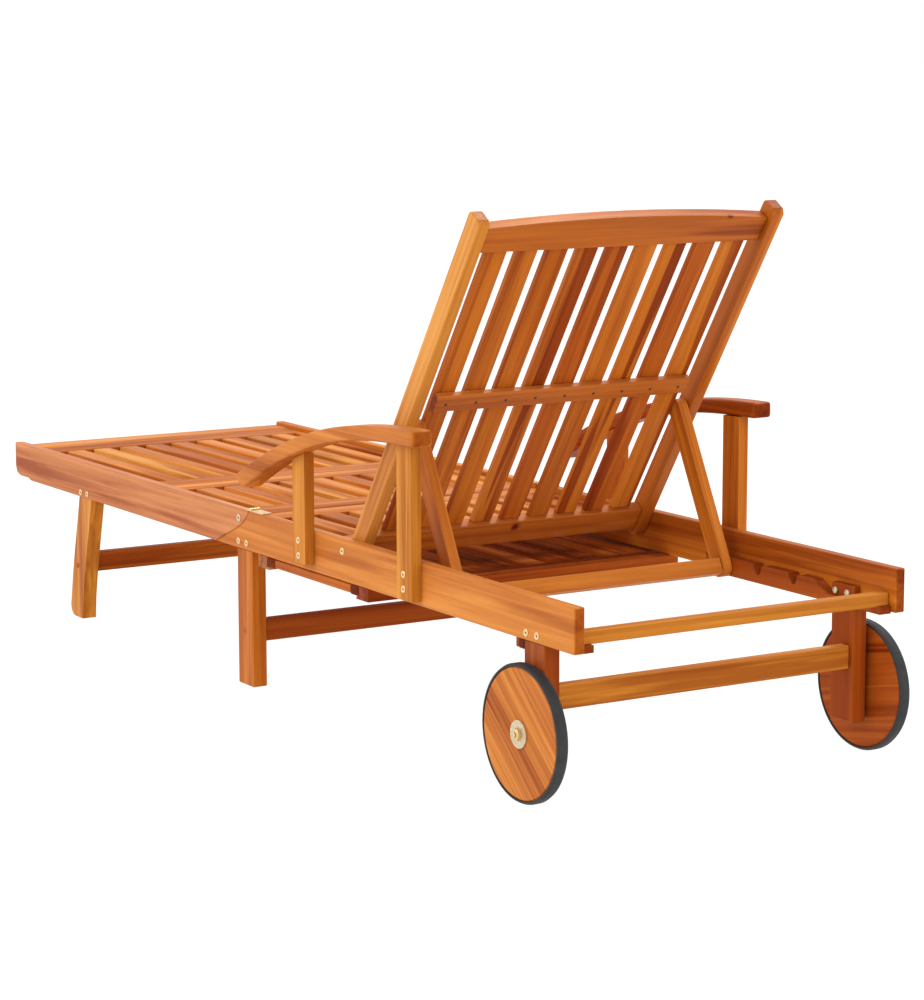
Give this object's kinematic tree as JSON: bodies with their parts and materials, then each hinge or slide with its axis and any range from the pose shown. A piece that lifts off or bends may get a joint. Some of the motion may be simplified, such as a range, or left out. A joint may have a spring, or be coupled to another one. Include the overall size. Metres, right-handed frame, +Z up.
{
  "type": "sun lounger",
  "caption": "Slatted wooden sun lounger with a reclining back, curved armrests, a fold-up leg rest, a sliding under-seat tray and two rubber-tyred wheels.",
  "frame": {"origin": "on the ground under the middle of the lounger's box, in the rest pose", "axes": "+X towards the sitter's left side, +Y from the foot end to the head end, +Z up"},
  "size_m": [0.676, 2, 0.8456],
  "materials": {
    "acacia_honey": "oiled satin",
    "acacia_amber": "oiled satin",
    "acacia_russet": "oiled satin",
    "acacia_rose": "oiled satin",
    "yellow_zinc": "yellow zinc plating",
    "tyre_rubber": "matte"
  },
  "bodies": {
    "frame": {"main_rail_left": "acacia_honey", "main_rail_right": "acacia_honey", "mid_leg_left": "acacia_amber", "mid_leg_right": "acacia_amber", "rear_leg_left": "acacia_russet", "rear_leg_right": "acacia_russet", "leg_block_left": "acacia_russet", "leg_block_right": "acacia_russet", "hinge_leaf_seat_left": "yellow_zinc", "hinge_leaf_seat_right": "yellow_zinc", "rack_strip_left": "acacia_russet", "rack_strip_right": "acacia_russet", "arm_left": "acacia_honey", "arm_right": "acacia_honey", "arm_post_front_left": "acacia_honey", "arm_post_front_right": "acacia_honey", "arm_post_rear_left": "acacia_honey", "arm_post_rear_right": "acacia_honey", "mid_stretcher": "acacia_amber", "rear_stretcher": "acacia_amber", "rear_crossbar": "acacia_amber", "seat_panel": "acacia_amber", "tray_runner_front": "acacia_russet", "tray_runner_rear": "acacia_russet"},
    "leg_rest": {"leg_rest_rail_left": "acacia_rose", "leg_rest_rail_right": "acacia_rose", "front_leg_left": "acacia_rose", "front_leg_right": "acacia_rose", "hinge_leaf_leg_rest_left": "yellow_zinc", "hinge_leaf_leg_rest_right": "yellow_zinc", "front_stretcher": "acacia_amber", "leg_rest_panel_outer": "acacia_honey", "leg_rest_panel_inner": "acacia_honey", "leg_rest_mid_ledge": "acacia_amber", "foot_end_bar": "acacia_rose"},
    "backrest": {"back_stile_left": "acacia_honey", "back_stile_right": "acacia_honey", "back_top_rail": "acacia_amber", "back_bottom_rail": "acacia_amber", "back_batten": "acacia_amber", "back_slat_1": "acacia_amber", "back_slat_2": "acacia_amber", "back_slat_3": "acacia_amber", "back_slat_4": "acacia_amber", "back_slat_5": "acacia_amber", "back_slat_6": "acacia_amber", "back_slat_7": "acacia_amber", "back_slat_8": "acacia_amber", "back_slat_9": "acacia_amber"},
    "prop": {"prop_leg_left": "acacia_honey", "prop_leg_right": "acacia_honey", "prop_crossbar": "acacia_amber"},
    "tray": {"tray_panel": "acacia_russet"},
    "wheel_left": {"wheel_disc_left": "acacia_rose", "wheel_tyre_left": "tyre_rubber", "wheel_washer_left": "yellow_zinc"},
    "wheel_right": {"wheel_disc_right": "acacia_rose", "wheel_tyre_right": "tyre_rubber", "wheel_washer_right": "yellow_zinc"}
  },
  "joints": [
    {"name": "recline", "type": "hinge", "parent": "frame", "child": "backrest", "pos_m": [0, 0.328, 0.2857], "axis": [1, 0, 0], "range_deg": [-56, 0]},
    {"name": "prop_swing", "type": "hinge", "parent": "backrest", "child": "prop", "pos_m": [0, 0.47762, 0.49603], "axis": [1, 0, 0], "range_deg": [-1, 116]},
    {"name": "leg_rest_fold", "type": "hinge", "parent": "frame", "child": "leg_rest", "pos_m": [0, 0.003, 0.3075], "axis": [-1, 0, 0], "range_deg": [0, 135]},
    {"name": "tray_slide", "type": "slide", "parent": "frame", "child": "tray", "axis": [1, 0, 0], "range_m": [-0.3, 0.3]},
    {"name": "wheel_left_spin", "type": "hinge", "parent": "frame", "child": "wheel_left", "pos_m": [0.3125, 0.8895, 0.1035], "axis": [1, 0, 0], "continuous": true},
    {"name": "wheel_right_spin", "type": "hinge", "parent": "frame", "child": "wheel_right", "pos_m": [-0.3125, 0.8895, 0.1035], "axis": [1, 0, 0], "continuous": true}
  ],
  "couplings": [
    {"joint": "prop_swing", "follows": "recline", "ratio": -2.014}
  ]
}
